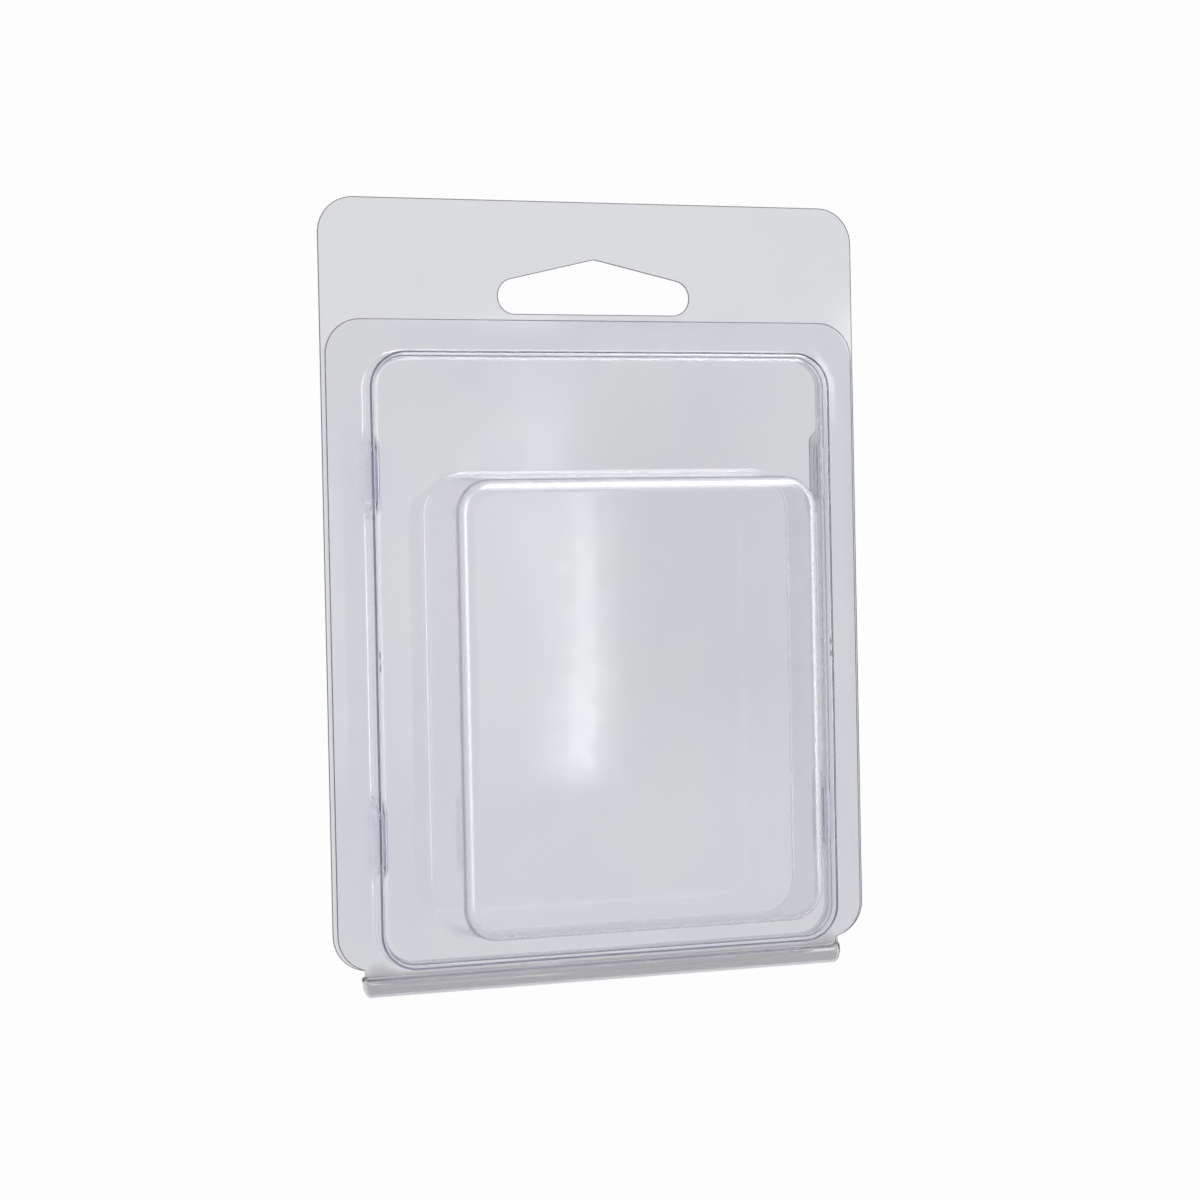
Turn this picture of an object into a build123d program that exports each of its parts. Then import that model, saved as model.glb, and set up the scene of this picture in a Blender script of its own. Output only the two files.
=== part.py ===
from build123d import *

import os
from math import cos, radians, sin, sqrt, tan

# Clear thermoformed clamshell pack. The back half has a hang tab and a raised plug, the front half has a
# raised panel and a product blister, and a rolled living hinge along the bottom joins them.
#
# The pack is upright: +Z up, its face towards -Y, and the origin at the peak of the hang hole, where a peg
# carries it. Lengths are millimetres. Heights below are measured up from the lower edge of the die-cut
# flange, and the finished halves are moved down to the hang point at the end.

# Sheet and fit
sheet = 0.40
nest_gap = 0.30

# Die-cut outlines
back_width = 88.9
trim_step = 0.6
trim_radius = 5.7
front_height = 100.2
tab_margin = 9.1

# Hang hole, a slot with a pitched roof and round ends, just above the front half
hole_width = 31.75
hole_height = 8.6
hole_margin = 1.0
hole_roof_slope = 13.0
hole_end_flat = 0.1
hole_peak_radius = 1.5

# Raised panel of the front half, set in from its edges, which the plug of the back half nests in
flange_side = 5.65
flange_top = 4.95
flange_bottom = 0.1
panel_rise = 4.5
panel_draft = 3.0
panel_corner_radius = 6.0
panel_crest_radius = 0.45
plug_crest_radius = 0.4

# Product blister, set in from the edges of the raised panel
deck_side = 8.3
deck_top = 19.3
deck_bottom = 5.0
blister_rise = 16.0
blister_draft = 4.5
blister_corner_radius = 6.2
blister_root_radius = 1.5
blister_inner_crest = 1.1

# Snap locks, dents in the side walls of the raised panel, two on each side
lock_above_base = 20.3
lock_below_top = 19.25
lock_length = 8.6
lock_depth = 0.8
lock_rise = 2.8
lock_corner_radius = 1.2
lock_draft = 30.0
lock_play = 0.8

# Rolled living hinge along the bottom
hinge_side = 4.85
bead_radius = 1.5
bead_drop = 1.1
fold_gap = 0.10

# Heights and widths that follow from those sizes
front_width = back_width - 2 * trim_step
hole_base = front_height + hole_margin
hole_peak = hole_base + hole_height
back_height = hole_peak + tab_margin
panel_width = front_width - 2 * flange_side
panel_base = flange_bottom
panel_top = front_height - flange_top
blister_width = panel_width - 2 * deck_side
blister_base = panel_base + deck_bottom
blister_top = panel_top - deck_top
hinge_length = back_width - 2 * hinge_side

# The front skin of the front flange lies this far forward of the back half's sealing face
front_face = sheet + nest_gap

# The hinge axis lies midway between the two flanges, and the front flange stops just clear of the bead
bead_forward = nest_gap / 2
bead_height = -(bead_drop + bead_radius)
front_fold = bead_height + sqrt((bead_radius + fold_gap) ** 2 - (nest_gap - bead_forward) ** 2)
back_fold = bead_height + bead_radius - sheet / 2

# Blocks that are cut away again reach this far past the pack
overshoot = 10.0
same_level = 0.01


def front_plane(forward):
    """A sketch plane seen from the front, `forward` of the back half's sealing face."""
    return Plane.XZ.offset(forward)


def skin_shift(inset, draft):
    """How far the foot of a drafted wall moves when the whole skin moves `inset` along its normal."""
    return inset * (1 - sin(radians(draft))) / cos(radians(draft))


def rounded_field(width, base, top, radius):
    """A rounded rectangle, centred on the pack, between two heights."""
    return Pos(0, (base + top) / 2) * RectangleRounded(width, top - base, radius)


def bent(block, edges, radius):
    """The block with a bend of that radius along the edges; a bend of no radius stays sharp."""
    return fillet(edges, radius) if radius > 0 else block


def crest_edges(block):
    """The edges round the front face of a block."""
    return block.faces().sort_by(Axis.Y)[0].edges()


def root_edges(block, forward, width, base, top):
    """The edges where a raised form of that width and height meets the plane at `forward`."""
    level = block.edges().filter_by_position(Axis.Y, -forward - same_level, -forward + same_level)
    across = level.filter_by(lambda edge: abs(edge.center().X) < width / 2)
    return across.filter_by_position(Axis.Z, base, top)


def raised_form(width, base, top, radius, rise, draft, crest, foot, inset):
    """A drafted block rising forward from `foot`, its skin moved in by `inset` and its crest bent."""
    shift = skin_shift(inset, draft)
    field = rounded_field(width - 2 * shift, base + shift, top - shift, radius - shift)
    block = extrude(front_plane(foot) * field, amount=rise, taper=draft)
    return bent(block, crest_edges(block), crest)


def lock_dents(foot, inset, rise, play):
    """Drafted dents that push the side walls of the raised panel inward at each snap lock."""
    growth = skin_shift(inset, lock_draft)
    floor = panel_width / 2 - lock_depth - inset
    outline = RectangleRounded(
        2 * (rise + growth),
        lock_length + 2 * (growth + play),
        lock_corner_radius + growth,
    )
    dents = Part()
    for side in (-1, 1):
        for height in (panel_base + lock_above_base, panel_top - lock_below_top):
            plane = Plane((side * floor, -foot, height), x_dir=(0, 1, 0), z_dir=(side, 0, 0))
            dents += extrude(plane * outline, amount=lock_depth + 2 * sheet + inset, taper=-lock_draft)
    ahead = Rectangle(2 * back_width, 2 * back_height)
    return dents & extrude(front_plane(foot) * ahead, amount=panel_rise + overshoot)


def panel_block(inset, crest, root, dent_rise, play):
    """The solid behind one skin of a flange with its raised panel, moved `inset` in from the front skin."""
    foot = front_face - inset
    field = rounded_field(
        back_width + overshoot, -overshoot, back_height + overshoot, trim_radius + overshoot / 2
    )
    slab = extrude(front_plane(foot) * field, amount=-overshoot)
    panel = raised_form(
        panel_width, panel_base, panel_top, panel_corner_radius, panel_rise, panel_draft, crest, foot, inset
    )
    block = slab + panel
    block = bent(block, root_edges(block, foot, panel_width, panel_base, panel_top), root)
    return block - lock_dents(foot, inset, dent_rise, play)


def cover_block(inset, crest, root):
    """The solid behind one skin of the front half: flange, raised panel and blister."""
    block = panel_block(inset, crest, root, lock_rise, 0)
    deck = front_face - inset + panel_rise
    block += raised_form(
        blister_width,
        blister_base,
        blister_top,
        blister_corner_radius,
        blister_rise,
        blister_draft,
        blister_inner_crest + sheet - inset,
        deck,
        inset,
    )
    foot_edges = root_edges(block, deck, blister_width, blister_base, blister_top)
    return bent(block, foot_edges, blister_root_radius + inset)


def die_cut(width, height, fold):
    """The outline that a half is cut to, with its hinge strip running down to `fold`."""
    flange = rounded_field(width, 0, height, trim_radius)
    strip = Pos(0, (fold + trim_radius) / 2) * Rectangle(hinge_length, trim_radius - fold)
    return flange + strip


def hang_hole():
    """The slot with a pitched roof that a peg goes through, each end round but for a short upright flat."""
    half = hole_width / 2
    shoulder = hole_peak - half * tan(radians(hole_roof_slope))
    end_radius = (shoulder - hole_base - hole_end_flat) / (1 + tan(radians(90 - hole_roof_slope) / 2))
    corners = [(-half, hole_base), (half, hole_base), (half, shoulder), (0, hole_peak), (-half, shoulder)]
    house = make_face(Polyline(*corners, close=True))
    house = fillet(house.vertices().sort_by(Axis.Y)[:-1], end_radius)
    return fillet(house.vertices().sort_by(Axis.Y)[-1], hole_peak_radius)


def trimmed(formed_sheet, outline):
    """A formed sheet cut to its outline, right through."""
    reach = front_face + panel_rise + blister_rise + overshoot
    return formed_sheet & extrude(front_plane(0) * outline, amount=reach, both=True)


def hinge_bead():
    """The rolled bead of sheet that the front half swings round."""
    ring = Circle(bead_radius) - Circle(bead_radius - sheet)
    return extrude(Plane.YZ * Pos(-bead_forward, bead_height) * ring, amount=hinge_length / 2, both=True)


# Bends round the raised panel and the plug are sharp on the inside of the bend and rounded on its outside.
def front_half():
    """The cover, formed in one sheet: flange, raised panel with its snap locks, and product blister."""
    front_skin = cover_block(0, panel_crest_radius, 0)
    rear_skin = cover_block(sheet, 0, sheet)
    return trimmed(front_skin - rear_skin, die_cut(front_width, front_height, front_fold))


def back_half():
    """The back: hang tab, flange, and the plug that nests in the cover, with the hinge bead."""
    front_skin = panel_block(front_face, plug_crest_radius, 0, panel_rise, lock_play)
    rear_skin = panel_block(front_face + sheet, 0, sheet, panel_rise, lock_play)
    outline = die_cut(back_width, back_height, back_fold) - hang_hole()
    return trimmed(front_skin - rear_skin, outline) + hinge_bead()


os.makedirs("parts", exist_ok=True)
to_hang_point = Location((0, 0, -hole_peak))
export_step(front_half().moved(to_hang_point), "parts/front_half.step")
export_step(back_half().moved(to_hang_point), "parts/back_half.step")
print("hinge axis at y", -bead_forward, "z", bead_height - hole_peak)
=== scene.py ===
import math

import bpy
import numpy as np
from mathutils import Matrix, Vector, geometry


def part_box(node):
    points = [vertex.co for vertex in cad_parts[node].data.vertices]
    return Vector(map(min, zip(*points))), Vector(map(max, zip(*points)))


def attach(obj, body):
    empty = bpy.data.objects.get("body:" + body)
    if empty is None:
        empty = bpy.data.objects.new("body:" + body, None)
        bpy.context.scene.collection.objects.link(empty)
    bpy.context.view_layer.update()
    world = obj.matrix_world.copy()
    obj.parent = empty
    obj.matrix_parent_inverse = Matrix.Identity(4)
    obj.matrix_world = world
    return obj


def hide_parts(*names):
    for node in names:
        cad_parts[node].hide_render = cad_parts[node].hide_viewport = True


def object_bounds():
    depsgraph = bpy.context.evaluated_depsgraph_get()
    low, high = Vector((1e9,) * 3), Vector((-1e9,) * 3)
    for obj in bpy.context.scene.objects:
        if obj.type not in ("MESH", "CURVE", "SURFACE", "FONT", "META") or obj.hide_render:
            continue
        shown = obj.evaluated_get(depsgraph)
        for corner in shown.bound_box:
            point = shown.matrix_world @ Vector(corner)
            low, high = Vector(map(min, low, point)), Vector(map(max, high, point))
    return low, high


# Clear thermoformed clamshell pack, upright and closed. Both halves are built as finely meshed formed sheets
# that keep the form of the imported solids, with soft bends, a little sag and a clear, faintly blue plastic.

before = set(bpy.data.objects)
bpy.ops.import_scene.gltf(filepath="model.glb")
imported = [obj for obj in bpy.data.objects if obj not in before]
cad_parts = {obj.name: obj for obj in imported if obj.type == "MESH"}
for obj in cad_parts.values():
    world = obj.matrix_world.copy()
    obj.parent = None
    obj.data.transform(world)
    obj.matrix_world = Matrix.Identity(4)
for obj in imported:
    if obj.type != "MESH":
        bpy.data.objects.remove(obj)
cad_low, cad_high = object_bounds()
back_low, back_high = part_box("back_half")
front_low, front_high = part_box("front_half")

MM = 0.001

# Sheet, and the gap between the nested halves
SHEET = 0.40 * MM
NEST_GAP = 0.30 * MM
FRONT_FACE = SHEET + NEST_GAP

# Die-cut outlines
TRIM_RADIUS = 5.7 * MM
FRONT_HEIGHT = 100.2 * MM
FLANGE_LOW = front_high.z - FRONT_HEIGHT

# Hang hole, with its peak at the origin
HOLE_WIDTH = 31.75 * MM
HOLE_HEIGHT = 8.6 * MM
HOLE_ROOF_SLOPE = math.radians(13)
HOLE_END_FLAT = 0.1 * MM
HOLE_PEAK_RADIUS = 1.5 * MM

# Raised panel of the front half, and the plug that nests in it
FLANGE_SIDE = 5.65 * MM
FLANGE_TOP = 4.95 * MM
FLANGE_BOTTOM = 0.1 * MM
PANEL_RISE = 4.5 * MM
PANEL_DRAFT = math.radians(3)
PANEL_CORNER = 6.0 * MM
PANEL_ROOT = 0.35 * MM
PANEL_CREST = 0.6 * MM
PLUG_ROOT = PANEL_ROOT + FRONT_FACE
PLUG_CREST = 1.2 * MM

# Product blister
DECK_SIDE = 8.3 * MM
DECK_TOP = 19.3 * MM
DECK_BOTTOM = 5.0 * MM
BLISTER_DRAFT = math.radians(4.5)
BLISTER_CORNER = 6.2 * MM
BLISTER_ROOT = 0.8 * MM
BLISTER_CREST = 2.2 * MM

# Snap locks
LOCK_ABOVE_BASE = 20.3 * MM
LOCK_BELOW_TOP = 19.25 * MM
LOCK_LENGTH = 8.6 * MM
LOCK_DEPTH = 0.8 * MM
LOCK_RISE = 2.8 * MM
LOCK_CORNER = 1.2 * MM
LOCK_DRAFT = math.radians(45)
LOCK_PLAY = 0.8 * MM
LOCK_SOFTNESS = 0.3 * MM

# Rolled living hinge. Each end of the bead narrows over a short length to a share of its size, and the sheet
# turns from plain to rolled over the given reach below the flange.
HINGE_HALF_LENGTH = 39.6 * MM
BEAD_RADIUS = 1.5 * MM
BEAD_FORWARD = NEST_GAP / 2
BEAD_HEIGHT = back_low.z + BEAD_RADIUS
BEAD_CREASE = 0.7 * MM
BEAD_GAP = math.radians(10)
BEAD_END = 0.9 * MM
BEAD_END_SHARE = 0.12
ROLL_REACH = (0.4 * MM, 0.95 * MM)

# How far the sheet gives between its bends, how deep the flange is dished, over what height the dish fades in
# above the hinge, and how much the cut edges are rounded
SAG_DEPTH = 0.10 * MM
FLANGE_DISH = 0.15 * MM
DISH_FADE = 8.0 * MM
EDGE_ROUND = 0.13 * MM

# What each raised form carries: painted shade, darker and bluer, at its root and at its crest, haze on its
# crest, and how far forming draws its wall out thin and clear. The lock dents and the hinge's crease get
# painted shade too.
PANEL_MARKS = (0.1, 0.3, 0.0, 0.5)
PLUG_MARKS = (0.0, 0.1, 0.0, 0.5)
BLISTER_MARKS = (0.3, 0.12, 1.0, 1.0)
LOCK_SHADE = 0.5
CREASE_SHADE = 0.2

# How finely the sheets are meshed: the steps along them, the rows over each bend, how close points are sewn
# together, how far in steps the inner points stay from an edge, and the bend at which shading turns sharp
FLAT_STEP = 1.8 * MM
SIDE_STEP = 0.5 * MM
EDGE_STEP = 1.2 * MM
HINGE_STEP = 0.6 * MM
CORNER_ROWS = 16
BEND_ROWS = 9
WALL_ROWS = 11
BEAD_END_ROWS = 5
ROLL_ROWS = 6 * BEND_ROWS
SEW_STEP = 0.001 * MM
SAME_POINT = 1e-9
EDGE_CLEARANCE = 0.6
SHARP_BEND = math.radians(50)

# Places that follow from those sizes
FRONT_HALF_WIDTH = front_high.x
BACK_HALF_WIDTH = back_high.x
PANEL_HALF_WIDTH = FRONT_HALF_WIDTH - FLANGE_SIDE
PANEL_LOW = FLANGE_LOW + FLANGE_BOTTOM
PANEL_HIGH = front_high.z - FLANGE_TOP
DECK = FRONT_FACE + PANEL_RISE
BLISTER_RISE = -front_low.y - DECK


def skin_shift(inset, draft):
    """How far the foot of a drafted wall moves when its whole skin moves `inset` along the normal."""
    return inset * (1 - math.sin(draft)) / math.cos(draft)


def arc(centre, radius, begin, end, rows):
    """Points along an arc in the plane of the sheet, angles in radians from +X towards +Z."""
    turn = np.linspace(begin, end, rows + 1)
    return np.stack([centre[0] + radius * np.cos(turn), centre[1] + radius * np.sin(turn)], 1)


def spaced(start, end, step):
    """Points from start up to, but not at, the end, about one step apart."""
    start, end = np.array(start, float), np.array(end, float)
    count = max(1, round(float(np.linalg.norm(end - start)) / step))
    return start + (end - start) * (np.arange(count) / count)[:, None]


def joined_loop(pieces, step):
    """A closed loop through runs of points, with the straight gaps between the runs filled in."""
    loop = []
    for piece, following in zip(pieces, pieces[1:] + pieces[:1]):
        loop.append(piece[:-1])
        loop.append(spaced(piece[-1], following[0], step))
    return np.concatenate(loop)


def rounded_ring(half_width, low, high, radius, side_rows, top_rows):
    """A rounded rectangle of points, anticlockwise from the front, with the same count whatever its size."""
    centres = [(half_width - radius, low + radius), (half_width - radius, high - radius)]
    centres += [(-x, z) for x, z in reversed(centres)]
    rows = [side_rows, top_rows, side_rows, top_rows]
    loop = []
    for quarter, centre in enumerate(centres):
        begin = (quarter - 1) * math.pi / 2
        corner = arc(centre, radius, begin, begin + math.pi / 2, CORNER_ROWS)
        following = centres[(quarter + 1) % 4]
        turn = begin + math.pi / 2
        target = np.array(following) + radius * np.array([math.cos(turn), math.sin(turn)])
        share = (np.arange(1, rows[quarter]) / rows[quarter])[:, None]
        loop += [corner, corner[-1] + (target - corner[-1]) * share]
    return np.concatenate(loop)


def wall_profile(rise, draft, root, crest, marks):
    """Rows up a drafted wall as inset and height, with the marks of each: painted shade at the bends, haze and
    drawing.
    """
    lean = math.pi / 2 - draft
    turn = lean * (1 - np.cos(np.linspace(0, math.pi, BEND_ROWS + 1))) / 2
    reach = math.tan(lean / 2)
    foot = np.stack([root * (np.sin(turn) - reach), root * (1 - np.cos(turn))], 1)
    back = turn[::-1]
    top = np.stack(
        [rise * math.tan(draft) + crest * (reach - np.sin(back)), rise - crest * (1 - np.cos(back))], 1
    )
    share = (np.arange(1, WALL_ROWS) / WALL_ROWS)[:, None]
    wall = foot[-1] + (top[0] - foot[-1]) * share
    bend = np.sin(turn / lean * math.pi)
    shade_at_root, shade_at_crest, haze, drawn = marks
    flat = np.zeros(len(wall))
    fold = np.concatenate([bend * shade_at_root, flat, bend * shade_at_crest])
    hazed = np.concatenate([np.zeros(len(turn)), flat, np.sin(back / lean * math.pi / 2)]) * haze
    thinned = np.concatenate([turn / lean, flat + 1, back / lean]) * drawn
    return np.concatenate([foot, wall, top]), np.stack([fold, hazed, thinned], 1)


def soft_min(a, b, softness):
    """The lesser of two values, rounded where they cross."""
    return 0.5 * (a + b - np.sqrt((a - b) ** 2 + softness ** 2))


def dented(ring, height, inset, reach, play):
    """A ring of the panel wall at one height, pushed in where the snap locks are."""
    growth = skin_shift(inset, LOCK_DRAFT)
    floor = PANEL_HALF_WIDTH - LOCK_DEPTH - inset
    corner = LOCK_CORNER + growth
    half_length = LOCK_LENGTH / 2 + growth + play
    width = np.abs(ring[:, 0])
    for level in (PANEL_LOW + LOCK_ABOVE_BASE, PANEL_HIGH - LOCK_BELOW_TOP):
        past_end = np.maximum(np.abs(ring[:, 1] - level) - half_length + corner, 0)
        past_top = max(height - reach - growth + corner, 0)
        outside = np.maximum(np.hypot(past_end, past_top) - corner, 0)
        width = soft_min(width, floor + outside / math.tan(LOCK_DRAFT), LOCK_SOFTNESS)
    return np.stack([np.copysign(width, ring[:, 0]), ring[:, 1]], 1)


def inside(points, loops):
    """Which points lie within an outline and outside its holes, by counting crossings."""
    odd = np.zeros(len(points), bool)
    for loop in loops:
        ahead = np.roll(loop, -1, 0)
        for (x0, z0), (x1, z1) in zip(loop, ahead):
            if z0 == z1:
                continue
            spans = (z0 > points[:, 1]) != (z1 > points[:, 1])
            crossing = x0 + (points[:, 1] - z0) * (x1 - x0) / (z1 - z0)
            odd ^= spans & (points[:, 0] < crossing)
    return odd


def grid_within(loops, step):
    """A staggered grid of points inside an outline, clear of its edges."""
    edge = np.concatenate(loops)
    low, high = edge.min(0), edge.max(0)
    rows = np.arange(low[1] + step / 2, high[1], step * math.sqrt(3) / 2)
    columns = np.arange(low[0] + step / 2, high[0], step)
    points = np.array([(x + step / 2 * (i % 2), z) for i, z in enumerate(rows) for x in columns])
    points = points[inside(points, loops)]
    nearest = (EDGE_CLEARANCE * step) ** 2
    clear = np.array([np.min(np.sum((edge - p) ** 2, 1)) > nearest for p in points])
    return points[clear]


class Skin:
    """The front skin of one formed sheet, gathered patch by patch."""

    def __init__(self):
        self.points = []
        self.marks = []
        self.faces = []
        self.count = 0

    def add(self, points, marks, faces):
        """Takes in one patch, its faces counted from its own first point."""
        self.points.append(np.asarray(points, float))
        self.marks.append(np.asarray(marks, float))
        self.faces += [[self.count + i for i in face] for face in faces]
        self.count += len(points)

    def loft(self, rows, marks, closed):
        """Joins rows of points, each as long as the next, with faces."""
        width = len(rows[0])
        steps = range(width if closed else width - 1)
        faces = []
        for here in range(0, (len(rows) - 1) * width, width):
            ahead = here + width
            faces += [(here + i, here + (i + 1) % width, ahead + (i + 1) % width, ahead + i) for i in steps]
        spread = np.broadcast_to(np.reshape(marks, (len(rows), -1, 3)), (len(rows), width, 3))
        self.add(np.concatenate(rows), spread.reshape(-1, 3), faces)

    def flat(self, loops, forward):
        """Fills a flat field, `forward` of the sealing face, between an outline and its holes."""
        extra = grid_within(loops, FLAT_STEP)
        points = np.concatenate([*loops, extra])
        edges = []
        first = 0
        for loop in loops:
            edges += [(first + i, first + (i + 1) % len(loop)) for i in range(len(loop))]
            first += len(loop)
        made = geometry.delaunay_2d_cdt([Vector(p) for p in points], edges, [], 0, SAME_POINT)
        corners = np.array([tuple(v) for v in made[0]])
        triangles = np.array([tuple(f) for f in made[2]])
        kept = triangles[inside(corners[triangles].mean(1), loops)]
        level = np.full(len(corners), -forward)
        in_place = np.stack([corners[:, 0], level, corners[:, 1]], 1)
        self.add(in_place, np.zeros((len(corners), 3)), kept.tolist())

    def merged(self):
        """Points, marks and faces with the patches sewn together where their edges meet."""
        points = np.concatenate(self.points)
        marks = np.concatenate(self.marks)
        keys = np.round(points / SEW_STEP).astype(np.int64)
        _, first, index = np.unique(keys, axis=0, return_index=True, return_inverse=True)
        index = index.reshape(-1)
        most = np.zeros((len(first), 3))
        np.maximum.at(most, index, marks)
        faces = [list(dict.fromkeys(int(index[i]) for i in face)) for face in self.faces]
        return points[first], most, [f for f in faces if len(f) > 2]


def unit(vectors):
    """Vectors at length 1; those of no length stay as they are."""
    length = np.linalg.norm(vectors, axis=1)[:, None]
    return np.divide(vectors, length, out=np.zeros_like(vectors), where=length > 0)


def normals_of(points, faces):
    """Smooth normals at the points, each face counting by its angle there."""
    normals = np.zeros_like(points)
    for size in (3, 4):
        index = np.array([f for f in faces if len(f) == size])
        if not len(index):
            continue
        across = points[index[:, 2]] - points[index[:, 0]]
        along = points[index[:, -1]] - points[index[:, 1]]
        face_normals = unit(np.cross(across, along))
        for corner in range(size):
            here = points[index[:, corner]]
            onward = unit(points[index[:, (corner + 1) % size]] - here)
            backward = unit(points[index[:, corner - 1]] - here)
            angle = np.arccos(np.clip(np.sum(onward * backward, 1), -1, 1))
            np.add.at(normals, index[:, corner], face_normals * angle[:, None])
    return unit(normals)


def smooth_step(values, low, high):
    """A value eased from 0 to 1 between two levels."""
    share = np.clip((values - low) / (high - low), 0, 1)
    return share * share * (3 - 2 * share)


def flange_dish(points):
    """How far the flange is dished between the raised panel and the cut edge."""
    half = np.array([PANEL_HALF_WIDTH, (PANEL_HIGH - PANEL_LOW) / 2]) - PANEL_CORNER
    middle = np.array([0, (PANEL_HIGH + PANEL_LOW) / 2])
    past = np.abs(points[:, [0, 2]] - middle) - half
    distance = np.hypot(*np.maximum(past, 0).T) + np.minimum(past.max(1), 0) - PANEL_CORNER
    across = np.clip(distance / FLANGE_SIDE, 0, 1)
    above_hinge = smooth_step(points[:, 2], FLANGE_LOW, FLANGE_LOW + DISH_FADE)
    return FLANGE_DISH * np.sin(math.pi * across) ** 2 * above_hinge


def sag(points):
    """How far the sheet gives, always inwards, in long shallow waves, their slopes in radians per metre."""
    x, y, z = points.T
    wave = np.sin(61 * x + 1.3) * np.sin(47 * z + 0.4) + 0.6 * np.sin(113 * x - 71 * z + 2.1)
    wave += 0.4 * np.sin(157 * z + 83 * x) + 0.3 * np.sin(190 * y + 40 * z)
    highest = 1 + 0.6 + 0.4 + 0.3
    return SAG_DEPTH * (1 + wave / highest) / 2 + flange_dish(points)


def cut_edges(faces):
    """The edges with a face on one side only, each as its two points in that face's order."""
    edges = {(a, b) for face in faces for a, b in zip(face, face[1:] + face[:1])}
    return np.array(sorted((a, b) for a, b in edges if (b, a) not in edges))


def outward_at(points, normals, edges):
    """For the points on cut edges, the direction out of the sheet; elsewhere nothing."""
    out = np.zeros_like(points)
    along = points[edges[:, 1]] - points[edges[:, 0]]
    for end in (0, 1):
        np.add.at(out, edges[:, end], np.cross(along, normals[edges[:, end]]))
    return unit(out)


def formed_sheet(name, skin):
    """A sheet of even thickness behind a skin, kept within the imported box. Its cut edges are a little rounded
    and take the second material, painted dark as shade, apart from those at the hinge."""
    points, marks, faces = skin.merged()
    rolled = 1 - smooth_step(points[:, 2], FLANGE_LOW - ROLL_REACH[1], FLANGE_LOW - ROLL_REACH[0])
    normals = normals_of(points, faces)
    points = points - normals * (sag(points) * (1 - rolled))[:, None]
    normals = normals_of(points, faces)
    edges = cut_edges(faces)
    eased = points - outward_at(points, normals, edges) * EDGE_ROUND
    rim_points = np.unique(edges)
    place = {int(i): 2 * len(points) + k for k, i in enumerate(rim_points)}
    middle = points[rim_points] - normals[rim_points] * SHEET / 2
    count = len(points)
    rear = [[i + count for i in reversed(face)] for face in faces]
    rim = [(b, a, place[a], place[b]) for a, b in edges.tolist()]
    rim += [(place[b], place[a], a + count, b + count) for a, b in edges.tolist()]
    corners = np.concatenate([eased, eased - normals * SHEET, middle])
    mesh = bpy.data.meshes.new(name)
    mesh.from_pydata(np.clip(corners, cad_low, cad_high).tolist(), [], faces + rear + rim)
    mesh.polygons.foreach_set("use_smooth", [True] * len(mesh.polygons))
    # The cut edges away from the hinge take the edge material, painted dark as shade
    knife = (points[edges, 2].min(1) > FLANGE_LOW).astype(int).tolist()
    mesh.polygons.foreach_set("material_index", [0] * (2 * len(faces)) + knife + knife)
    mesh.set_sharp_from_angle(angle=SHARP_BEND)
    for title, values in zip(("fold", "haze", "drawn", "rolled"), (*marks.T, rolled)):
        values = np.concatenate([values, values, values[rim_points]])
        mesh.attributes.new(title, "FLOAT", "POINT").data.foreach_set("value", values.astype(np.float32))
    mesh.update()
    piece = bpy.data.objects.new(name, mesh)
    bpy.context.scene.collection.objects.link(piece)
    return piece


def die_cut(half_width, high, hinge_points):
    """The outline of a half, anticlockwise from the front, with its hinge strip along the bottom."""
    radius = TRIM_RADIUS
    foot = -math.acos((HINGE_HALF_LENGTH - half_width + radius) / radius)
    low = FLANGE_LOW + radius
    quarter = math.pi / 2
    right_foot = arc((half_width - radius, low), radius, foot, 0, CORNER_ROWS)
    right_top = arc((half_width - radius, high - radius), radius, 0, quarter, CORNER_ROWS)
    mirrored = [piece[::-1] * (-1, 1) for piece in (right_top, right_foot)]
    return joined_loop([hinge_points, right_foot, right_top, *mirrored], EDGE_STEP)


def filleted(corners, radii, rows):
    """A closed outline through corners, anticlockwise, each rounded by its radius."""
    pieces = []
    for i, radius in enumerate(radii):
        corner, before, after = (np.array(corners[j % len(corners)]) for j in (i, i - 1, i + 1))
        inward = (before - corner) / np.linalg.norm(before - corner)
        outward = (after - corner) / np.linalg.norm(after - corner)
        half = math.acos(float(inward @ outward)) / 2
        middle = (inward + outward) / np.linalg.norm(inward + outward)
        centre = corner + middle * radius / math.sin(half)
        start = corner + inward * radius / math.tan(half) - centre
        begin = math.atan2(start[1], start[0])
        pieces.append(arc(centre, radius, begin, begin + math.pi - 2 * half, rows))
    return pieces


def hang_hole():
    """The slot with a pitched roof that a peg goes through, its peak at the origin."""
    half = HOLE_WIDTH / 2
    shoulder = -half * math.tan(HOLE_ROOF_SLOPE)
    end = (shoulder + HOLE_HEIGHT - HOLE_END_FLAT) / (1 + math.tan((math.pi / 2 - HOLE_ROOF_SLOPE) / 2))
    corners = [(-half, -HOLE_HEIGHT), (half, -HOLE_HEIGHT), (half, shoulder), (0, 0), (-half, shoulder)]
    return joined_loop(filleted(corners, [end, end, end, HOLE_PEAK_RADIUS, end], CORNER_ROWS), EDGE_STEP)


def raised_rings(half_width, low, high, radius, profile, steps):
    """Rings of a raised form, one for each row of its wall profile."""
    side, top = steps
    side_rows = max(2, round((high - low - 2 * radius) / side))
    top_rows = max(2, round((2 * half_width - 2 * radius) / top))
    return [
        rounded_ring(half_width - inset, low + inset, high - inset, radius - inset, side_rows, top_rows)
        for inset, _ in profile
    ]


def in_space(rings, profile, foot):
    """Rings in the plane of the sheet, set at their heights in front of the foot plane."""
    return [
        np.stack([ring[:, 0], np.full(len(ring), -(foot + height)), ring[:, 1]], 1)
        for ring, (_, height) in zip(rings, profile)
    ]


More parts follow.
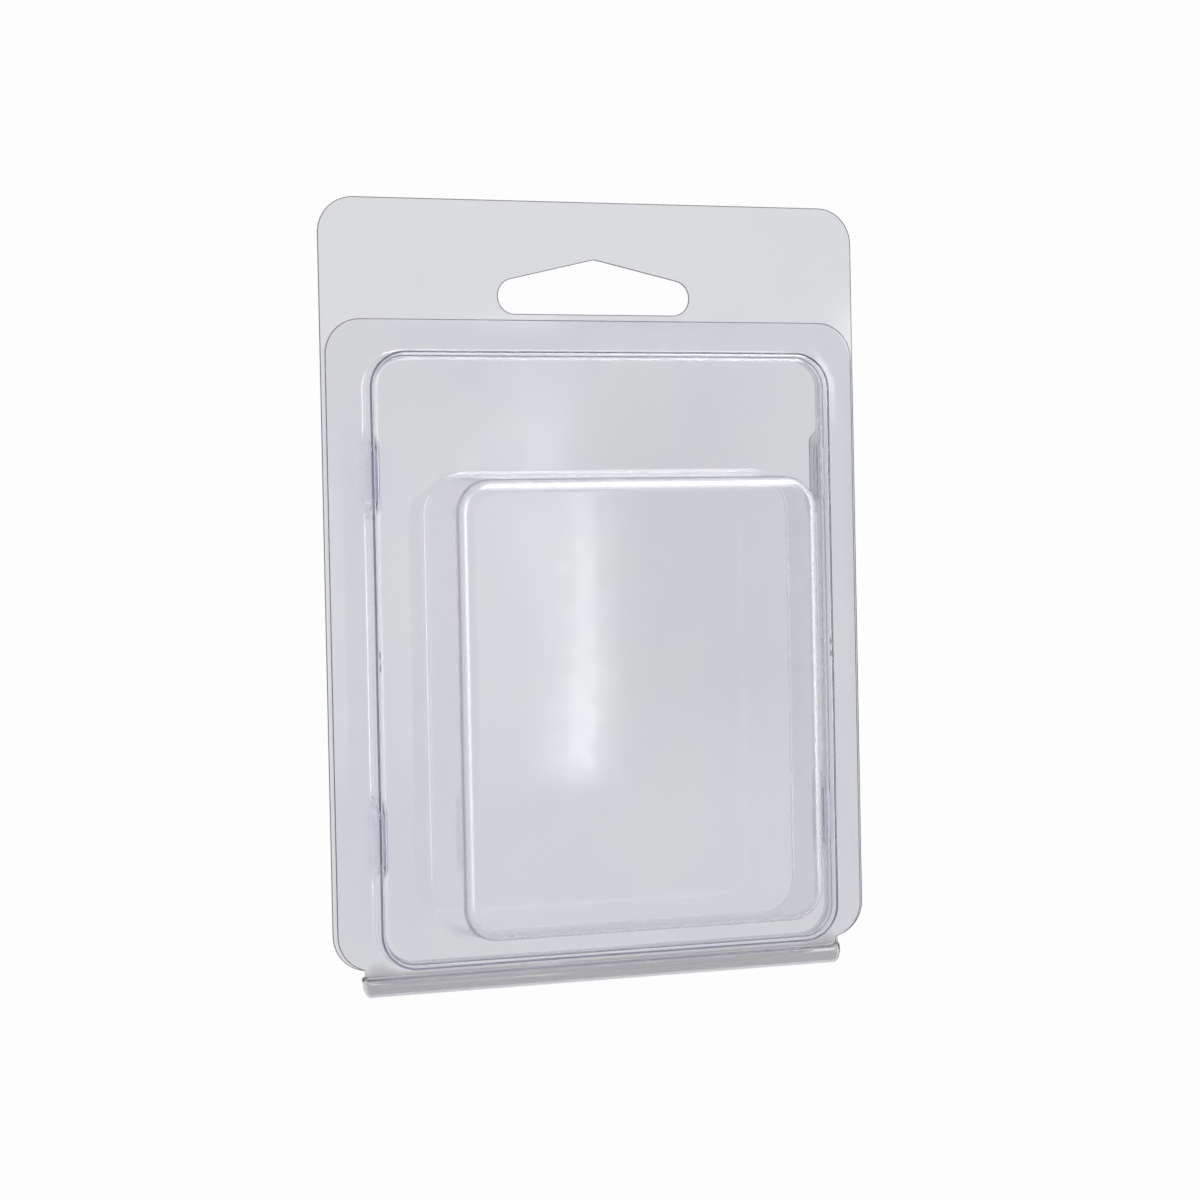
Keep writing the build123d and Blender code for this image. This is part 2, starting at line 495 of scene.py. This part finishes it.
def panel_rings(inset, root, crest, reach, play, marks, lock_shade):
    """The rings of a raised panel whose skin lies `inset` behind the cover's front skin, with their marks."""
    shift = skin_shift(inset, PANEL_DRAFT)
    profile, row_marks = wall_profile(PANEL_RISE, PANEL_DRAFT, root, crest, marks)
    rings = raised_rings(
        PANEL_HALF_WIDTH - shift,
        PANEL_LOW + shift,
        PANEL_HIGH - shift,
        PANEL_CORNER - shift,
        profile,
        (SIDE_STEP, EDGE_STEP),
    )
    pushed = [dented(ring, height, inset, reach, play) for ring, (_, height) in zip(rings, profile)]
    depth = np.array([np.abs(ring[:, 0]) - np.abs(dent[:, 0]) for ring, dent in zip(rings, pushed)])
    point_marks = np.repeat(row_marks[:, None, :], depth.shape[1], 1)
    # Painted shade in the lock dents, stronger where they are deeper
    point_marks[:, :, 0] = np.maximum(point_marks[:, :, 0], lock_shade * np.clip(depth / LOCK_DEPTH, 0, 1))
    return pushed, profile, point_marks


def front_skin():
    """The cover: flange, raised panel with its snap locks, deck, and product blister."""
    skin = Skin()
    panel, profile, marks = panel_rings(0, PANEL_ROOT, PANEL_CREST, LOCK_RISE, 0, PANEL_MARKS, LOCK_SHADE)
    skin.loft(in_space(panel, profile, FRONT_FACE), marks, True)
    profile, marks = wall_profile(BLISTER_RISE, BLISTER_DRAFT, BLISTER_ROOT, BLISTER_CREST, BLISTER_MARKS)
    blister = raised_rings(
        PANEL_HALF_WIDTH - DECK_SIDE,
        PANEL_LOW + DECK_BOTTOM,
        PANEL_HIGH - DECK_TOP,
        BLISTER_CORNER,
        profile,
        (EDGE_STEP, EDGE_STEP),
    )
    skin.loft(in_space(blister, profile, DECK), marks, True)
    hinge = np.array([(-HINGE_HALF_LENGTH, front_low.z), (HINGE_HALF_LENGTH, front_low.z)])
    hinge = np.concatenate([spaced(hinge[0], hinge[1], EDGE_STEP), hinge[1:]])
    skin.flat([die_cut(FRONT_HALF_WIDTH, front_high.z, hinge), panel[0]], FRONT_FACE)
    skin.flat([panel[-1], blister[0]], DECK)
    skin.flat([blister[-1]], DECK + BLISTER_RISE)
    return skin


def hinge_roll():
    """The roll of the living hinge as rows of (y, z), from the back's strip round to the cover's edge."""
    inner = BEAD_RADIUS - SHEET
    join = math.asin((BEAD_CREASE + BEAD_FORWARD) / (BEAD_CREASE + inner))
    crease_height = BEAD_HEIGHT + (inner + BEAD_CREASE) * math.cos(join)
    turn = np.linspace(0, math.pi / 2 - join, BEND_ROWS)
    crease = np.stack([BEAD_CREASE * (1 - np.cos(turn)), crease_height - BEAD_CREASE * np.sin(turn)], 1)
    roll = np.linspace(join, 2 * math.pi - BEAD_GAP, ROLL_ROWS)[1:]
    ring = np.stack([inner * np.sin(roll) - BEAD_FORWARD, BEAD_HEIGHT + inner * np.cos(roll)], 1)
    return np.concatenate([crease, ring])


def hinge_places():
    """Places along the hinge from left to right, closer together near the bead's rounded ends."""
    inner = HINGE_HALF_LENGTH - BEAD_END
    right_end = np.linspace(inner, HINGE_HALF_LENGTH, BEAD_END_ROWS + 1)
    middle = np.linspace(-inner, inner, round(2 * inner / HINGE_STEP) + 1)[1:-1]
    return np.concatenate([-right_end[::-1], middle, right_end])


def back_skin():
    """The back: hang tab, flange, plug with its lock grooves, and the rolled hinge."""
    skin = Skin()
    plug, profile, marks = panel_rings(FRONT_FACE, PLUG_ROOT, PLUG_CREST, LOCK_RISE, LOCK_PLAY, PLUG_MARKS, 0)
    skin.loft(in_space(plug, profile, 0), marks, True)
    skin.flat([plug[-1]], PANEL_RISE)
    roll = hinge_roll()
    along = hinge_places()
    hinge = np.stack([along, np.full(len(along), roll[0, 1])], 1)
    skin.flat([die_cut(BACK_HALF_WIDTH, back_high.z, hinge), plug[0], hang_hole()], 0)
    past = np.clip((np.abs(hinge[:, 0]) - HINGE_HALF_LENGTH + BEAD_END) / BEAD_END, 0, 1)
    share = BEAD_END_SHARE + (1 - BEAD_END_SHARE) * np.sqrt(1 - past ** 2)
    rows = [
        np.stack([hinge[:, 0], y * share, roll[0, 1] + (z - roll[0, 1]) * share], 1)
        for y, z in roll
    ]
    marks = np.zeros((len(rows), 3))
    # Painted shade over the hinge's crease, rising and falling across its rows
    marks[:BEND_ROWS, 0] = CREASE_SHADE * np.linspace(0, 1, BEND_ROWS)
    marks[BEND_ROWS:2 * BEND_ROWS, 0] = CREASE_SHADE * np.linspace(1, 0, BEND_ROWS)
    skin.loft(rows[::-1], marks[::-1], False)
    return skin


def link(tree, source, target):
    """Joins two sockets."""
    tree.links.new(source, target)


def noise(tree, coordinates, scale, detail, roughness=0.5):
    """A noise texture on the given coordinates."""
    node = tree.nodes.new("ShaderNodeTexNoise")
    node.inputs["Scale"].default_value = scale
    node.inputs["Detail"].default_value = detail
    node.inputs["Roughness"].default_value = roughness
    link(tree, coordinates, node.inputs["Vector"])
    return node.outputs["Fac"]


def ramp(tree, factor, low, high):
    """A value spread from 0 to 1 between two levels of a factor."""
    node = tree.nodes.new("ShaderNodeMapRange")
    node.interpolation_type = "SMOOTHSTEP"
    node.inputs["From Min"].default_value = low
    node.inputs["From Max"].default_value = high
    link(tree, factor, node.inputs["Value"])
    return node


def mixed_colour(tree, factor, first, second):
    """A colour between two, each a plain colour or an output."""
    node = tree.nodes.new("ShaderNodeMix")
    node.data_type = "RGBA"
    link(tree, factor, node.inputs["Factor"])
    for name, value in (("A", first), ("B", second)):
        socket = next(s for s in node.inputs if s.name == name and s.type == "RGBA")
        if isinstance(value, tuple):
            socket.default_value = (*value, 1)
        else:
            link(tree, value, socket)
    return next(s for s in node.outputs if s.type == "RGBA")


def attribute(tree, title):
    """A value kept at the points of the mesh."""
    node = tree.nodes.new("ShaderNodeAttribute")
    node.attribute_name = title
    return node.outputs["Fac"]


# Clear plastic: its refraction, its faint clouds, how rough its scuffs and its hazed crests are, and the fine
# ripple of its skin. Scales are those of the noise, and levels are where in it a change begins and ends.
PLASTIC_IOR = 1.57
CLOUD_SCALE = 42
CLOUD_LEVELS = (0.40, 0.66)
SCUFF_SCALE = 420
SCUFF_LEVELS = (0.35, 0.8)
SCUFF_ROUGHNESS = (0.03, 0.10)
HAZE_ROUGHNESS = 0.3
RIPPLE_SCALE = 260
RIPPLE_STRENGTH = 0.025
RIPPLE_DEPTH = 0.05 * MM

# The colour that light takes on along the depth of the sheet, and how strongly, per metre
DEPTH_COLOUR = (0.633, 0.627, 0.76)
DEPTH_DENSITY = 300

# The die-cut edge: its colour, painted dark as shade, how far its drag marks darken it,
# and how rough and how clear it is
CUT_EDGE_SHADE = (0.10, 0.10, 0.13)
EDGE_SHADE = 0.8
DRAG_SCALE = 1500
DRAG_LEVELS = (0.3, 0.7)
GRAIN_SCALE = 900
GRAIN_LEVELS = (0.2, 0.8)
EDGE_ROUGHNESS = (0.25, 0.45)
EDGE_CLEARNESS = 0.5

# Tints of the two halves, though both are one sheet: the back's much greyer tint is painted shade, for the
# duller light seen through the pack. Clouds and the painted shade at folds are shares of a half's own tint, the
# drawn walls have a tint of their own, and the hinge roll a darker grey that is painted shade.
BACK_SHADED_TINT = (0.739, 0.743, 0.749)
COVER_TINT = (0.925, 0.930, 0.935)
CLOUD_SHARE = (0.975, 0.985, 1.005)
FOLD_SHADE_SHARE = (0.84, 0.83, 0.93)
DRAWN_TINT = (0.998, 0.998, 1.0)
ROLL_SHADE_TINT = (0.65, 0.65, 0.65)


def shared(tint, share):
    """A tint times a share of each of its parts."""
    return tuple(part * each for part, each in zip(tint, share))


def clear_plastic(name, tint):
    """Clear sheet: faint cool clouds, darker and bluer painted shade at the folds, drawn walls, hazed crests
    and fine scuffs. Its colour deepens with the way through it, and lamps shine through."""
    material = bpy.data.materials.new(name)
    material.use_nodes = True
    tree = material.node_tree
    tree.nodes.clear()
    place = tree.nodes.new("ShaderNodeTexCoord").outputs["Object"]
    clouds = ramp(tree, noise(tree, place, CLOUD_SCALE, 3), *CLOUD_LEVELS).outputs["Result"]
    colour = mixed_colour(tree, clouds, tint, shared(tint, CLOUD_SHARE))
    colour = mixed_colour(tree, attribute(tree, "drawn"), colour, DRAWN_TINT)
    # Painted shade: the hinge roll in a darker grey than the rest of the sheet
    colour = mixed_colour(tree, attribute(tree, "rolled"), colour, ROLL_SHADE_TINT)
    # Painted shade, darker and bluer, at the bends, in the lock dents and along the hinge's crease
    colour = mixed_colour(tree, attribute(tree, "fold"), colour, shared(tint, FOLD_SHADE_SHARE))
    scuffs = ramp(tree, noise(tree, place, SCUFF_SCALE, 4, 0.6), *SCUFF_LEVELS)
    scuffs.inputs["To Min"].default_value, scuffs.inputs["To Max"].default_value = SCUFF_ROUGHNESS
    rough = tree.nodes.new("ShaderNodeMath")
    rough.operation = "MULTIPLY_ADD"
    rough.inputs[1].default_value = HAZE_ROUGHNESS
    link(tree, attribute(tree, "haze"), rough.inputs[0])
    link(tree, scuffs.outputs["Result"], rough.inputs[2])
    bump = tree.nodes.new("ShaderNodeBump")
    bump.inputs["Strength"].default_value = RIPPLE_STRENGTH
    bump.inputs["Distance"].default_value = RIPPLE_DEPTH
    link(tree, noise(tree, place, RIPPLE_SCALE, 1), bump.inputs["Height"])
    plastic = tree.nodes.new("ShaderNodeBsdfPrincipled")
    plastic.inputs["Transmission Weight"].default_value = 1.0
    plastic.inputs["IOR"].default_value = PLASTIC_IOR
    link(tree, colour, plastic.inputs["Base Color"])
    link(tree, rough.outputs[0], plastic.inputs["Roughness"])
    link(tree, bump.outputs["Normal"], plastic.inputs["Normal"])
    lamps = tree.nodes.new("ShaderNodeBsdfTransparent")
    lamps.inputs["Color"].default_value = (*tint, 1)
    path = tree.nodes.new("ShaderNodeLightPath")
    either = tree.nodes.new("ShaderNodeMixShader")
    link(tree, path.outputs["Is Shadow Ray"], either.inputs["Fac"])
    link(tree, plastic.outputs["BSDF"], either.inputs[1])
    link(tree, lamps.outputs["BSDF"], either.inputs[2])
    depth = tree.nodes.new("ShaderNodeVolumeAbsorption")
    depth.inputs["Color"].default_value = (*DEPTH_COLOUR, 1)
    depth.inputs["Density"].default_value = DEPTH_DENSITY
    output = tree.nodes.new("ShaderNodeOutputMaterial")
    link(tree, either.outputs["Shader"], output.inputs["Surface"])
    link(tree, depth.outputs["Volume"], output.inputs["Volume"])
    return material


def shaded_cut_edge(name):
    """The die-cut edge of the sheet: painted dark as shade, with the fine drag marks of the knife."""
    material = bpy.data.materials.new(name)
    material.use_nodes = True
    tree = material.node_tree
    plastic = tree.nodes["Principled BSDF"]
    place = tree.nodes.new("ShaderNodeTexCoord").outputs["Object"]
    drag = ramp(tree, noise(tree, place, DRAG_SCALE, 3), *DRAG_LEVELS).outputs["Result"]
    shade = tuple(EDGE_SHADE * part for part in CUT_EDGE_SHADE)
    link(tree, mixed_colour(tree, drag, CUT_EDGE_SHADE, shade), plastic.inputs["Base Color"])
    rough = ramp(tree, noise(tree, place, GRAIN_SCALE, 4), *GRAIN_LEVELS)
    rough.inputs["To Min"].default_value, rough.inputs["To Max"].default_value = EDGE_ROUGHNESS
    link(tree, rough.outputs["Result"], plastic.inputs["Roughness"])
    plastic.inputs["IOR"].default_value = PLASTIC_IOR
    plastic.inputs["Transmission Weight"].default_value = EDGE_CLEARNESS
    return material


def build_pack():
    """Both halves, each on its own body."""
    halves = (
        ("back_sheet", back_skin(), "back_half", "back", BACK_SHADED_TINT),
        ("front_sheet", front_skin(), "front_half", "cover", COVER_TINT),
    )
    for name, skin, node, body, tint in halves:
        piece = formed_sheet(name, skin)
        piece.data.materials.append(clear_plastic(name, tint))
        piece.data.materials.append(shaded_cut_edge(name + "_edge"))
        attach(piece, body)
        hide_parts(node)


# Where the photograph was taken from, fitted to the pack's edges
CAMERA_YAW = math.radians(-19.00)
CAMERA_PITCH = math.radians(1.09)
CAMERA_ROLL = math.radians(-1.16)
CAMERA_DISTANCE = 406.5 * MM
CAMERA_TARGET = Vector((-0.13 * MM, 0, FLANGE_LOW + 56.12 * MM))
CAMERA_FOCUS_PIXELS = 2569
IMAGE_PIXELS = 1200
SENSOR_WIDTH = 36
CAMERA_CLIP = (0.01, 50)


def add_camera():
    """A camera at the photograph's viewing angle."""
    data = bpy.data.cameras.new("camera")
    data.sensor_width = SENSOR_WIDTH
    data.lens = CAMERA_FOCUS_PIXELS / IMAGE_PIXELS * SENSOR_WIDTH
    data.clip_start, data.clip_end = CAMERA_CLIP
    level = math.cos(CAMERA_PITCH)
    ahead = Vector((-math.sin(CAMERA_YAW) * level, math.cos(CAMERA_YAW) * level, -math.sin(CAMERA_PITCH)))
    right = ahead.cross(Vector((0, 0, 1))).normalized()
    up = right.cross(ahead)
    tilt = (math.cos(CAMERA_ROLL), math.sin(CAMERA_ROLL))
    across = right * tilt[0] + up * tilt[1]
    upward = up * tilt[0] - right * tilt[1]
    camera = bpy.data.objects.new("camera", data)
    axes = Matrix((across, upward, -ahead)).transposed().to_4x4()
    camera.matrix_world = Matrix.Translation(CAMERA_TARGET - ahead * CAMERA_DISTANCE) @ axes
    bpy.context.scene.collection.objects.link(camera)
    bpy.context.scene.camera = camera


# The pale background that is seen, and the soft light that comes from all round
BACKGROUND = (0.980, 0.983, 0.985)
ROUND_LIGHT = (0.9, 0.93, 0.97)
ROUND_LIGHT_STRENGTH = 0.3


def seen_rays(tree):
    """1 for the rays that show the background: seen directly, in gloss, or through clear plastic."""
    path = tree.nodes.new("ShaderNodeLightPath")
    total = path.outputs["Is Camera Ray"]
    for name in ("Is Glossy Ray", "Is Transmission Ray"):
        either = tree.nodes.new("ShaderNodeMath")
        either.operation = "MAXIMUM"
        link(tree, total, either.inputs[0])
        link(tree, path.outputs[name], either.inputs[1])
        total = either.outputs[0]
    return total


def add_world():
    """Soft light from all round, seen as a plain pale background."""
    world = bpy.data.worlds.new("studio")
    world.use_nodes = True
    tree = world.node_tree
    tree.nodes.clear()
    light = tree.nodes.new("ShaderNodeBackground")
    light.inputs["Color"].default_value = (*ROUND_LIGHT, 1)
    light.inputs["Strength"].default_value = ROUND_LIGHT_STRENGTH
    pale = tree.nodes.new("ShaderNodeBackground")
    pale.inputs["Color"].default_value = (*BACKGROUND, 1)
    either = tree.nodes.new("ShaderNodeMixShader")
    link(tree, seen_rays(tree), either.inputs["Fac"])
    link(tree, light.outputs[0], either.inputs[1])
    link(tree, pale.outputs[0], either.inputs[2])
    link(tree, either.outputs[0], tree.nodes.new("ShaderNodeOutputWorld").inputs["Surface"])
    bpy.context.scene.world = world


# The floor lies just below the cover when that hangs open. Under the pack this share of it shows light and
# shadow, and the rest is plain. The share falls to nothing over the given reach, in metres.
FLOOR_SIZE = 6.0
FLOOR_CLEARANCE = 0.5 * MM
FLOOR_HEIGHT = 2 * BEAD_HEIGHT - front_high.z - FLOOR_CLEARANCE
FLOOR_SHADE = 0.5
SHADOW_REACH = (0.06, 0.30)


def add_floor():
    """A plain pale floor well under the pack, which keeps its shadow."""
    half = FLOOR_SIZE / 2
    corners = [(-half, -half, 0), (half, -half, 0), (half, half, 0), (-half, half, 0)]
    mesh = bpy.data.meshes.new("floor")
    mesh.from_pydata(corners, [], [(0, 1, 2, 3)])
    material = bpy.data.materials.new("floor")
    material.use_nodes = True
    tree = material.node_tree
    tree.nodes.clear()
    lit = tree.nodes.new("ShaderNodeBsdfDiffuse")
    lit.inputs["Color"].default_value = (*BACKGROUND, 1)
    pale = tree.nodes.new("ShaderNodeEmission")
    pale.inputs["Color"].default_value = (*BACKGROUND, 1)
    distance = tree.nodes.new("ShaderNodeVectorMath")
    distance.operation = "LENGTH"
    link(tree, tree.nodes.new("ShaderNodeTexCoord").outputs["Object"], distance.inputs[0])
    plain = ramp(tree, distance.outputs["Value"], *SHADOW_REACH)
    plain.inputs["To Min"].default_value = 1 - FLOOR_SHADE
    share = tree.nodes.new("ShaderNodeMath")
    share.operation = "MULTIPLY"
    link(tree, plain.outputs["Result"], share.inputs[1])
    link(tree, seen_rays(tree), share.inputs[0])
    either = tree.nodes.new("ShaderNodeMixShader")
    link(tree, share.outputs[0], either.inputs["Fac"])
    link(tree, lit.outputs[0], either.inputs[1])
    link(tree, pale.outputs[0], either.inputs[2])
    link(tree, either.outputs[0], tree.nodes.new("ShaderNodeOutputMaterial").inputs["Surface"])
    mesh.materials.append(material)
    floor = bpy.data.objects.new("floor", mesh)
    floor.location.z = FLOOR_HEIGHT
    bpy.context.scene.collection.objects.link(floor)


# Cards at the right front, seen only in the gloss of the pack: a bright window, which gives the upright
# streak on the blister's face, a pale wall to its left, a dark screen to its right, a ceiling light for the
# blister's top edge, and a small light for the flange's upper corner. Each row is a height, the left and
# right edges there, in millimetres, and how solid the card is. Each pair of fades is the share of the card's
# width over which its left and right edges fade in.
CARD_FORWARD = 280
CARD_STEPS = (24, 120)
WINDOW_GLOW = 5.5
WINDOW_FADES = (0.5, 0.28)
WINDOW_ROWS = np.array([
    (-108, 56, 89, 0.0),
    (-100, 56, 89, 1.0),
    (-83, 59, 89, 0.95),
    (-66, 58, 88, 0.75),
    (-48, 46, 88, 0.75),
    (-32, 42, 88, 0.55),
    (-10, 50, 90, 0.3),
    (22, 62, 92, 0.0),
])
PALE_GLOW = 1.7
PALE_FADES = (0.35, 0.24)
PALE_ROWS = np.array([
    (-113, 22, 72, 0.0),
    (-95, 22, 74, 1.0),
    (-40, 22, 74, 1.0),
    (0, 22, 70, 0.0),
])
SCREEN_GLOW = 0.05
SCREEN_FADES = (0.3, 0.4)
SCREEN_ROWS = np.array([
    (-113, 80, 150, 0.0),
    (-80, 80, 150, 0.9),
    (-30, 80, 150, 0.9),
    (10, 88, 150, 0.0),
])
CEILING_GLOW = 4.8
CEILING_FADES = (0.2, 0.2)
CEILING_ROWS = np.array([
    (80, 20, 250, 0.0),
    (160, 20, 270, 1.0),
    (600, 20, 350, 1.0),
    (700, 20, 350, 0.0),
])
CORNER_LIGHT_GLOW = 4.5
CORNER_LIGHT_FADES = (0.25, 0.25)
CORNER_LIGHT_ROWS = np.array([
    (-12, 164, 215, 0.0),
    (3, 164, 215, 1.0),
    (13, 164, 215, 1.0),
    (26, 164, 215, 0.0),
])


def add_card(name, rows, fades, glow):
    """An upright card whose left and right edges fade in over the given shares of its width."""
    across, up = CARD_STEPS
    heights, lefts, rights, solid = rows.T
    z = np.linspace(heights[0], heights[-1], up + 1)
    share = np.linspace(0, 1, across + 1)
    left, right = np.interp(z, heights, lefts), np.interp(z, heights, rights)
    x = left[:, None] + (right - left)[:, None] * share
    fade = smooth_step(share, 0, fades[0]) * smooth_step(1 - share, 0, fades[1])
    cover = np.interp(z, heights, solid)[:, None] * fade
    width = across + 1
    points = np.stack([x, np.full_like(x, -CARD_FORWARD), np.repeat(z[:, None], width, 1)], 2) * MM
    faces = []
    for here in range(0, up * width, width):
        ahead = here + width
        faces += [(here + i, ahead + i, ahead + i + 1, here + i + 1) for i in range(across)]
    mesh = bpy.data.meshes.new(name)
    mesh.from_pydata(points.reshape(-1, 3).tolist(), [], faces)
    covered = mesh.attributes.new("cover", "FLOAT", "POINT")
    covered.data.foreach_set("value", cover.reshape(-1).astype(np.float32))
    material = bpy.data.materials.new(name)
    material.use_nodes = True
    tree = material.node_tree
    tree.nodes.clear()
    light = tree.nodes.new("ShaderNodeEmission")
    light.inputs["Strength"].default_value = glow
    clear = tree.nodes.new("ShaderNodeBsdfTransparent")
    either = tree.nodes.new("ShaderNodeMixShader")
    link(tree, attribute(tree, "cover"), either.inputs["Fac"])
    link(tree, clear.outputs[0], either.inputs[1])
    link(tree, light.outputs[0], either.inputs[2])
    link(tree, either.outputs[0], tree.nodes.new("ShaderNodeOutputMaterial").inputs["Surface"])
    mesh.materials.append(material)
    card = bpy.data.objects.new(name, mesh)
    card.visible_camera = False
    card.visible_diffuse = False
    card.visible_transmission = False
    card.visible_volume_scatter = False
    card.visible_shadow = False
    bpy.context.scene.collection.objects.link(card)


# Plain soft studio light, a broad box overhead and one at each side: the place of each from the middle of
# the pack and its size, in metres, its power in watts, and whether it shows in the gloss
LAMPS = (
    ("overhead", (0.25, -0.35, 0.9), (1.0, 0.3), 8, False),
    ("left_side", (-0.8, -0.45, 0.15), (0.25, 0.9), 4.5, False),
    ("right_side", (0.85, -0.35, 0.15), (0.2, 0.9), 3.0, True),
)


def softbox(name, place, size, power, in_gloss):
    """An area lamp that looks at the middle of the pack, and may show in its gloss."""
    data = bpy.data.lights.new(name, "AREA")
    data.shape = "RECTANGLE"
    data.size, data.size_y = size
    data.energy = power
    lamp = bpy.data.objects.new(name, data)
    middle = (cad_low + cad_high) / 2
    lamp.location = middle + Vector(place)
    lamp.rotation_euler = (-Vector(place)).to_track_quat("-Z", "Y").to_euler()
    lamp.visible_camera = False
    lamp.visible_glossy = in_gloss
    bpy.context.scene.collection.objects.link(lamp)


build_pack()
add_camera()
add_world()
add_floor()
add_card("window", WINDOW_ROWS, WINDOW_FADES, WINDOW_GLOW)
add_card("pale_wall", PALE_ROWS, PALE_FADES, PALE_GLOW)
add_card("screen", SCREEN_ROWS, SCREEN_FADES, SCREEN_GLOW)
add_card("ceiling", CEILING_ROWS, CEILING_FADES, CEILING_GLOW)
add_card("corner_light", CORNER_LIGHT_ROWS, CORNER_LIGHT_FADES, CORNER_LIGHT_GLOW)
for lamp in LAMPS:
    softbox(*lamp)
bpy.context.scene.view_settings.view_transform = "Standard"

# Enough bounces for light to pass all the skins of both sheets and of the hinge roll
bpy.context.scene.cycles.max_bounces = 24
bpy.context.scene.cycles.glossy_bounces = 16
bpy.context.scene.cycles.transmission_bounces = 24
bpy.context.scene.cycles.transparent_max_bounces = 16
